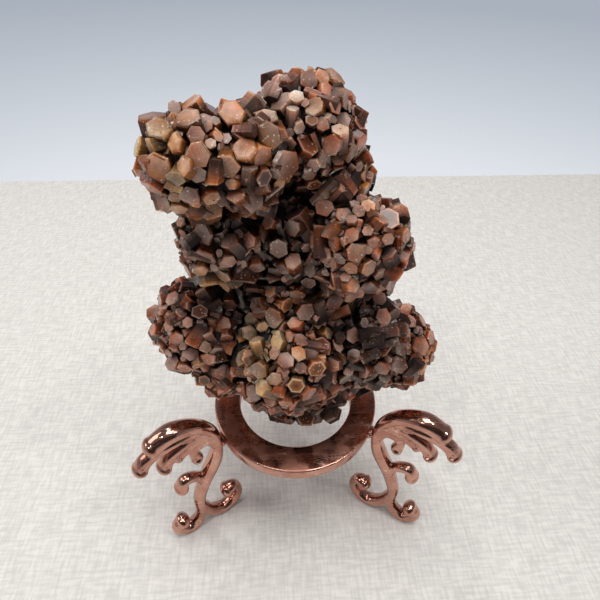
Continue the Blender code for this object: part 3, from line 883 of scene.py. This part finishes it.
def plating_material(settings, name, dullness):
    """Cast zinc under rose gold plating: a little wavy from the mould, finely scratched."""
    made = bpy.data.materials.get(name)
    if made:
        return made
    material, tree, shader = new_material(name)
    place = add_node(tree, "TexCoord").outputs["Object"]
    clouds = add_node(tree, "TexNoise", {"Vector": place, "Scale": 0.25 / MM, "Detail": 3.0})
    plating = covered_by(tree, settings.rose_gold, settings.copper, clouds, 0.4, 0.65, 0.0, 0.7)

    # Scratches about 0.1 mm wide and 10 mm long, along two directions.
    scratches = 0.0
    for turn in (0.5, -0.9):
        stretched = add_node(tree, "Mapping", {"Vector": place, "Rotation": (0.0, 0.0, turn),
                                               "Scale": (0.06 / MM, 0.55 / MM, 0.3 / MM)})
        lines = add_node(tree, "TexNoise", {"Vector": stretched, "Scale": 1.0, "Detail": 1.0})
        near = add_node(tree, "Math", [lines, 0.56], operation="SUBTRACT")
        near = add_node(tree, "Math", [near], operation="ABSOLUTE")
        line = add_node(tree, "MapRange", [near, 0.0, 0.006, 0.5, 0.0])
        scratches = add_node(tree, "Math", [line, scratches], operation="ADD")
    plating = add_node(tree, "Mix", {0: scratches, 6: plating, 7: settings.bare_edge}, data_type="RGBA")

    # The plating darkens towards a darker colour in the hollows, within 3 mm of another face.
    hollow = add_node(tree, "AmbientOcclusion", {"Distance": 3.0 * MM}, samples=6, only_local=True)
    plating = covered_by(tree, plating, settings.hollow_colour, hollow.outputs["AO"], 0.3, 0.8, 0.85, 0.0)
    rough = add_node(tree, "MapRange", [clouds, 0.4, 0.62, 0.35 * dullness, dullness])
    rough = add_node(tree, "Math", [scratches, 0.4, rough], operation="MULTIPLY_ADD")
    waves = add_node(tree, "TexNoise", {"Vector": place, "Scale": 0.8 / MM, "Detail": 1.0})
    bump = add_node(tree, "Bump", {"Height": waves, "Strength": 0.25, "Distance": 0.1 * MM})
    fill_inputs(shader, {"Base Color": plating, "Roughness": rough, "Normal": bump, "Metallic": 1.0})
    return material


# Studio --------------------------------------------------------------------------------------------

CAMERA_PLACE = (-4.1, -62.4, 119.5)  # mm from the ring's axis and the table
CAMERA_YAW = 4.28  # degrees towards +X
CAMERA_PITCH = 42.4  # degrees below level
CAMERA_ROLL = 1.31
CAMERA_LENS = 27.06  # mm, on a sensor 36 mm wide
MAT_BACK = 169.0  # mm from the ring's axis to the back edge of the mat
MAT_REACH = 700.0
FLAG_PLACE = (0.0, -0.42, 0.3)  # from the ring's axis
FLAG_SIZE = (0.9, 0.4)
LAMP_AIM = (0.0, 0.0, 0.06)  # from the ring's axis and the table

# Square softboxes: place from the ring's axis and the table, side, and power over the overhead one's.
SOFTBOXES = {
    "overhead_softbox": ((0.04, 0.0, 0.55), 0.28, 1.0),
    "back_spark": ((-0.12, 0.2, 0.5), 0.035, 0.16),
    "right_spark": ((0.25, -0.1, 0.5), 0.035, 0.16),
    "left_spark": ((-0.22, -0.2, 0.5), 0.035, 0.16),
    "left_softbox": ((-0.45, 0.05, 0.35), 0.25, 0.35),
}


def set_camera():
    data = bpy.data.cameras.new("camera")
    data.sensor_width = 36.0
    data.lens = CAMERA_LENS
    data.clip_start = 0.005
    camera = add_object("camera", data)
    camera.matrix_world = (
        Matrix.Translation(RING_AXIS + Vector(CAMERA_PLACE) * MM)
        @ Matrix.Rotation(math.radians(-CAMERA_YAW), 4, "Z")
        @ Matrix.Rotation(math.radians(90 - CAMERA_PITCH), 4, "X")
        @ Matrix.Rotation(math.radians(CAMERA_ROLL), 4, "Z")
    )
    bpy.context.scene.camera = camera


def lay_mat(settings):
    """A pale woven mat under the stand, which ends behind it."""
    shape = bmesh.new()
    depth = (MAT_BACK + MAT_REACH) / 2
    middle = RING_AXIS + Vector((0, (MAT_BACK - MAT_REACH) / 2, 0)) * MM
    bmesh.ops.create_grid(shape, x_segments=1, y_segments=1, size=1.0)
    bmesh.ops.scale(shape, verts=shape.verts, vec=(MAT_REACH * MM, depth * MM, 1))
    bmesh.ops.translate(shape, verts=shape.verts, vec=middle)
    material, tree, shader = new_material("woven_mat")
    place = add_node(tree, "TexCoord").outputs["Object"]
    # Threads both ways, about 0.7 mm apart, seen in runs of some 5 mm.
    weave = 0.5
    for stretch in ((0.2 / MM, 1.4 / MM, 1.0), (1.4 / MM, 0.2 / MM, 1.0)):
        run = add_node(tree, "Mapping", {"Vector": place, "Scale": stretch})
        threads = add_node(tree, "TexNoise", {"Vector": run, "Scale": 1.0, "Detail": 2.0})
        weave = add_node(tree, "Math", [threads, weave], operation="MULTIPLY")
    shaded = shaded_by(tree, settings.mat_colour, weave, 0.07, 0.18, 0.86, 1.06)
    bump = add_node(tree, "Bump", {"Height": weave, "Strength": 0.3, "Distance": 0.3 * MM})
    fill_inputs(shader, {"Base Color": shaded, "Normal": bump, "Roughness": 0.9})
    add_object("table_mat", mesh_from(shape, "table_mat"), material)


def hang_softbox(name, place, size, power):
    data = bpy.data.lights.new(name, "AREA")
    data.size = size
    data.energy = power
    lamp = add_object(name, data)
    place = RING_AXIS + Vector(place)
    turn = (place - RING_AXIS - Vector(LAMP_AIM)).to_track_quat("Z", "Y")
    lamp.matrix_world = Matrix.Translation(place) @ turn.to_matrix().to_4x4()


def hang_flag(settings):
    """A dark card behind the camera, for the polished metal to show dark reflections in."""
    shape = bmesh.new()
    bmesh.ops.create_grid(shape, x_segments=1, y_segments=1, size=0.5)
    place = RING_AXIS + Vector(FLAG_PLACE)
    towards = (RING_AXIS - place).to_track_quat("Z", "Y").to_matrix().to_4x4()
    bmesh.ops.transform(shape, verts=shape.verts,
                        matrix=Matrix.Translation(place) @ towards @ Matrix.Diagonal((*FLAG_SIZE, 1, 1)))
    material, _, shader = new_material("black_card")
    fill_inputs(shader, {"Base Color": settings.flag_colour, "Roughness": 0.9})
    flag = add_object("dark_flag", mesh_from(shape, "dark_flag"), material)
    flag.visible_camera = False


def paint_world(settings):
    """A light grey surround, palest near the level of the table and greyer above and below."""
    world = bpy.data.worlds.new("surround")
    bpy.context.scene.world = world
    world.use_nodes = True
    tree = world.node_tree
    direction = add_node(tree, "TexCoord").outputs["Generated"]
    height = add_node(tree, "SeparateXYZ", [direction]).outputs["Z"]
    colour = covered_by(tree, settings.surround_low, settings.surround_high, height, -0.42, -0.15)
    colour = covered_by(tree, colour, settings.room, height, 0.05, 0.4)
    fill_inputs(tree.nodes["Background"], {"Color": colour, "Strength": settings.surround_strength})


def set_stage(settings):
    set_camera()
    lay_mat(settings)
    for name, (place, size, share) in SOFTBOXES.items():
        hang_softbox(name, place, size, settings.lamp_power * share)
    hang_flag(settings)
    paint_world(settings)
    bpy.context.scene.view_settings.view_transform = "Standard"


# Settings, operators and panel ---------------------------------------------------------------------


def colour_setting(name, description, hex_colour):
    return FloatVectorProperty(name=name, description=description, subtype="COLOR",
                               default=linear(hex_colour))


def length_setting(name, description, length):
    return FloatProperty(name=name, description=description, default=length, unit="LENGTH")


class ClusterSettings(bpy.types.PropertyGroup):
    seed: IntProperty(name="Seed", description="Which cluster grows", default=1907)
    honey: colour_setting("Honey", "Clear amber stone", "#925c2b")
    ember: colour_setting("Ember", "Glowing orange stone", "#9e5a2c")
    russet: colour_setting("Russet", "Red-brown stone", "#844524")
    umber: colour_setting("Umber", "Dark brown stone", "#4e2c18")
    mauve: colour_setting("Mauve", "Mauve-brown caps", "#7c442d")
    rose: colour_setting("Rose", "Pale pink caps", "#bc886e")
    smoke: colour_setting("Smoke", "Grey-brown caps", "#553722")
    straw: colour_setting("Straw", "Yellow-grey stone", "#997548")
    # White of frosted faces, and of the painted glints and the painted highlight on the caps' edges.
    frost: colour_setting("Frost", "Glittering faces", "#f0e2d6")
    # Painted shade: the colour the stone is painted deep in the gaps between the crystals.
    shadow: colour_setting("Shadow", "Painted shade deep in the gaps", "#1a0b05")


class StandSettings(bpy.types.PropertyGroup):
    ring_inner_radius: length_setting("Ring Inner Radius", "Radius of the ring's hole", 12.8 * MM)
    ring_edge: length_setting("Ring Edge", "Rounding of the ring's edges", 0.4 * MM)
    groove_width: FloatProperty(name="Feather Hollow", default=0.6, subtype="FACTOR",
                                description="Width of a feather's hollow over the feather's")
    casting_voxel: length_setting("Casting Grain", "How finely the castings' skin is made", 0.25 * MM)
    rose_gold: colour_setting("Rose Gold", "Bright plating", "#c99684")
    copper: colour_setting("Copper", "Plating where it has dulled", "#a8705f")
    bare_edge: colour_setting("Bare Edge", "Metal in a scratch", "#f6dccc")
    # Colour that the plating darkens to within 3 mm of another face.
    hollow_colour: colour_setting("Hollow Colour", "Darker colour in the hollows", "#4a2a20")


class StageSettings(bpy.types.PropertyGroup):
    mat_colour: colour_setting("Mat", "Colour of the mat", "#f7f3ec")
    flag_colour: colour_setting("Flag", "Colour of the dark card", "#4c4644")
    surround_low: colour_setting("Surround Low", "Surround near the mat", "#e2e6ec")
    surround_high: colour_setting("Surround High", "Surround above the mat", "#aab2bd")
    room: colour_setting("Room", "Surround high over the table", "#7c7c7f")
    surround_strength: FloatProperty(name="Surround Strength", description="Light from the surround",
                                     default=1.0)
    lamp_power: FloatProperty(name="Lamp Power", description="Power of the overhead softbox", default=1.45,
                              unit="POWER")


class SPECIMEN_OT_set_stage(bpy.types.Operator):
    """Sets the camera, the mat, the softboxes and the surround"""

    bl_idname = "specimen.set_stage"
    bl_label = "Set Stage"

    def execute(self, context):
        set_stage(context.scene.specimen_stage)
        return {"FINISHED"}


class SPECIMEN_OT_turn_ring(bpy.types.Operator):
    """Makes the ring that the cluster rests on"""

    bl_idname = "specimen.turn_ring"
    bl_label = "Turn Ring"

    def execute(self, context):
        turn_ring(context.scene.specimen_stand)
        return {"FINISHED"}


class SPECIMEN_OT_cast_legs(bpy.types.Operator):
    """Makes the three scrolled legs"""

    bl_idname = "specimen.cast_legs"
    bl_label = "Cast Legs"

    def execute(self, context):
        cast_legs(context.scene.specimen_stand)
        return {"FINISHED"}


class SPECIMEN_OT_solder_necks(bpy.types.Operator):
    """Makes the knots of solder that hold the legs to the ring"""

    bl_idname = "specimen.solder_necks"
    bl_label = "Solder Necks"

    def execute(self, context):
        solder_necks(context.scene.specimen_stand)
        return {"FINISHED"}


class SPECIMEN_OT_grow_cluster(bpy.types.Operator):
    """Grows the crystals of the cluster and fuses them into one stone"""

    bl_idname = "specimen.grow_cluster"
    bl_label = "Grow Cluster"

    def execute(self, context):
        grow_cluster(context.scene.specimen_cluster)
        return {"FINISHED"}


class SPECIMEN_PT_sidebar(bpy.types.Panel):
    """Lists the pieces of the specimen with their sizes and colours"""

    bl_idname = "SPECIMEN_PT_sidebar"
    bl_label = "Aragonite Cluster"
    bl_space_type = "VIEW_3D"
    bl_region_type = "UI"
    bl_category = "Specimen"

    def draw(self, context):
        for operators, name in (
            (("specimen.grow_cluster",), "specimen_cluster"),
            (("specimen.turn_ring", "specimen.cast_legs", "specimen.solder_necks"), "specimen_stand"),
            (("specimen.set_stage",), "specimen_stage"),
        ):
            column = self.layout.column()
            for operator in operators:
                column.operator(operator)
            settings = getattr(context.scene, name)
            for setting in settings.__annotations__:
                column.prop(settings, setting)


GROUPS = {
    "specimen_cluster": ClusterSettings,
    "specimen_stand": StandSettings,
    "specimen_stage": StageSettings,
}
CLASSES = [*GROUPS.values(), SPECIMEN_OT_set_stage, SPECIMEN_OT_turn_ring, SPECIMEN_OT_cast_legs,
           SPECIMEN_OT_solder_necks, SPECIMEN_OT_grow_cluster, SPECIMEN_PT_sidebar]


def register():
    for made in CLASSES:
        bpy.utils.register_class(made)
    for name, group in GROUPS.items():
        setattr(bpy.types.Scene, name, PointerProperty(type=group))


def unregister():
    for name in GROUPS:
        delattr(bpy.types.Scene, name)
    for made in reversed(CLASSES):
        bpy.utils.unregister_class(made)


def main():
    register()
    bpy.ops.specimen.set_stage()
    bpy.ops.specimen.turn_ring()
    bpy.ops.specimen.cast_legs()
    bpy.ops.specimen.solder_necks()
    bpy.ops.specimen.grow_cluster()


if __name__ == "__main__":
    main()
